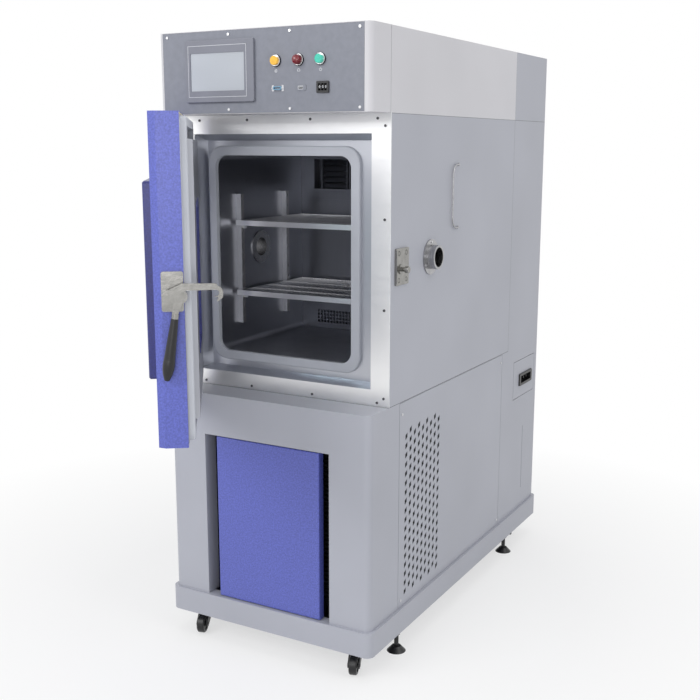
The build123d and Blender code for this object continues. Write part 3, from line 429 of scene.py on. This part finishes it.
def plate(name, x0, x1, y0, y1, z0, z1, material, body):
    """A plain box, given in the cabinet's own frame in millimetres."""
    points = [at(x, y, z) for x in (x0, x1) for y in (y0, y1) for z in (z0, z1)]
    faces = [(0, 1, 3, 2), (4, 6, 7, 5), (0, 4, 5, 1), (2, 3, 7, 6), (0, 2, 6, 4), (1, 5, 7, 3)]
    return mesh_piece(name, points, faces, material, body)


def vent_painted_shade(look):
    """A black sheet behind each side vent, painted shade for the dark space seen through it."""
    inner, outer = VENT_SHADE_X
    for side, x0, x1 in (("right", inner, outer), ("left", -outer, -inner)):
        plate(f"vent_shade_sheet_{side}", x0, x1, *VENT_SHADE_Y, *VENT_SHADE_Z, look["behind_vents"], "cabinet")


def panel_marks(look):
    """Generic signs below the controls and a light line round the display."""
    left, right, low, high = -201, -32, 1419, 1538
    outline = [(left, low), (right, low), (right, high), (left, high), (left, low)]
    printed("display_line", [outline], BEZEL_Y, look)
    x, z, r = LAMP_X, SIGN_Z, 2.4
    lamp = [arc(x, z, 3.4), [(x - r, z - r), (x + r, z + r)], [(x - r, z + r), (x + r, z - r)]]
    printed("lamp_sign", lamp, FASCIA_Y, look)
    x = SOUNDER_X
    bell = arc(x, z + 0.6, 2.8, 0, 180, 12) + [(x - 3.6, z - 2.4), (x + 3.6, z - 2.4), (x + 2.8, z + 0.6)]
    printed("sounder_sign", [bell], FASCIA_Y, look)
    x = POWER_X
    power = [arc(x, z, 3.2, 125, 415), [(x, z + 0.4), (x, z + 4.2)]]
    printed("power_sign", power, FASCIA_Y, look)


def dial_digits(look):
    """A plain digit on each dial of the preset counter."""
    for i in (1, 2, 3):
        low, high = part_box(f"thumbwheel_{i}")
        data = bpy.data.curves.new(f"digit_{i}", "FONT")
        data.body = "0"
        data.size = DIGIT_SIZE
        data.extrude = DIGIT_DEPTH
        data.align_x = "CENTER"
        data.align_y = "CENTER"
        data.materials.append(look["mark"])
        digit = bpy.data.objects.new(f"digit_{i}", data)
        digit.location = ((low.x + high.x) / 2, low.y - DIGIT_GAP, (low.z + high.z) / 2)
        digit.rotation_euler = (math.radians(90), 0, 0)
        bpy.context.scene.collection.objects.link(digit)
        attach(digit, f"thumbwheel_{i}")


def camera():
    """The photograph's own view."""
    data = bpy.data.cameras.new("camera")
    data.lens = CAMERA_LENS
    data.sensor_width = SENSOR
    data.clip_end = 100
    eye = bpy.data.objects.new("camera", data)
    eye.location = SHIFT + Vector(CAMERA_AT)
    eye.rotation_euler = [math.radians(angle) for angle in (90 - CAMERA_PITCH, CAMERA_ROLL, CAMERA_YAW)]
    bpy.context.scene.collection.objects.link(eye)
    bpy.context.scene.camera = eye


def seen_directly(tree):
    """1 for rays from the camera, from gloss and through glass, 0 for the rest."""
    path = tree.nodes.new("ShaderNodeLightPath")
    total = path.outputs["Is Camera Ray"]
    for kind in ("Is Glossy Ray", "Is Transmission Ray"):
        total = calculate(tree, "MAXIMUM", total, path.outputs[kind])
    return total


def world(light):
    """White where it is seen, and a softer light of the given strength on the object."""
    sky = bpy.data.worlds.new("studio")
    sky.use_nodes = True
    tree = sky.node_tree
    tree.nodes.clear()
    output = tree.nodes.new("ShaderNodeOutputWorld")
    lit = tree.nodes.new("ShaderNodeBackground")
    lit.inputs["Strength"].default_value = light
    shown = tree.nodes.new("ShaderNodeBackground")
    shown.inputs["Color"].default_value = (1, 1, 1, 1)
    mix = tree.nodes.new("ShaderNodeMixShader")
    lit.inputs["Color"].default_value = (0.97, 0.98, 1.0, 1)
    tree.links.new(seen_directly(tree), mix.inputs[0])
    tree.links.new(lit.outputs[0], mix.inputs[1])
    tree.links.new(shown.outputs[0], mix.inputs[2])
    tree.links.new(mix.outputs[0], output.inputs[0])
    bpy.context.scene.world = sky


def floor():
    """White sheet that keeps the object's shadow."""
    reach = FLOOR_REACH
    corners = [(-reach, -reach, 0), (reach, -reach, 0), (reach, reach, 0), (-reach, reach, 0)]
    mesh = bpy.data.meshes.new("floor")
    mesh.from_pydata(corners, [], [(0, 1, 2, 3)])
    sheet = bpy.data.objects.new("floor", mesh)
    bpy.context.scene.collection.objects.link(sheet)
    material = bpy.data.materials.new("floor_white")
    material.use_nodes = True
    tree = material.node_tree
    tree.nodes.clear()
    output = tree.nodes.new("ShaderNodeOutputMaterial")
    diffuse = tree.nodes.new("ShaderNodeBsdfDiffuse")
    diffuse.inputs["Color"].default_value = (0.86, 0.86, 0.86, 1)
    glow = tree.nodes.new("ShaderNodeEmission")
    glow.inputs["Strength"].default_value = 1.0
    place = tree.nodes.new("ShaderNodeTexCoord")
    away = tree.nodes.new("ShaderNodeVectorMath")
    away.operation = "LENGTH"
    tree.links.new(place.outputs["Object"], away.inputs[0])
    fade = tree.nodes.new("ShaderNodeMapRange")
    fade.inputs["From Min"].default_value = FADE_START
    fade.inputs["From Max"].default_value = FADE_END
    fade.inputs["To Min"].default_value = FADE_SHARE
    fade.inputs["To Max"].default_value = 1.0
    tree.links.new(away.outputs["Value"], fade.inputs["Value"])
    share = calculate(tree, "MULTIPLY", seen_directly(tree), fade.outputs[0])
    mix = tree.nodes.new("ShaderNodeMixShader")
    tree.links.new(share, mix.inputs[0])
    tree.links.new(diffuse.outputs[0], mix.inputs[1])
    tree.links.new(glow.outputs[0], mix.inputs[2])
    tree.links.new(mix.outputs[0], output.inputs[0])
    mesh.materials.append(material)


def softbox(name, place, target, size, power):
    """A rectangular lamp that faces its target, in metres and watts."""
    data = bpy.data.lights.new(name, "AREA")
    data.shape = "RECTANGLE"
    data.size, data.size_y = size
    data.energy = power
    lamp = bpy.data.objects.new(name, data)
    lamp.location = Vector(place)
    lamp.rotation_euler = (Vector(target) - Vector(place)).to_track_quat("-Z", "Y").to_euler()
    bpy.context.scene.collection.objects.link(lamp)


def lights():
    """Soft light from the front left, the right, above, and into the open chamber."""
    middle = (0, 0.1, 0.9)
    softbox("key", (-1.2, -3.4, 2.9), middle, (2.4, 2.0), 63)
    softbox("side", (3.4, -0.4, 3.1), (0, 0.1, 1.1), (2.2, 2.2), 32)
    softbox("top", (0.2, 0.2, 4.0), middle, (3.0, 3.0), 30)
    softbox("into_chamber", (0.9, -2.6, 1.4), (0, 0.3, 1.0), (1.0, 1.0), 10)


bpy.context.scene.view_settings.view_transform = "Standard"
look = materials()
dress(look)
vent_painted_shade(look)
panel_marks(look)
dial_digits(look)
world(0.55)
floor()
lights()
camera()
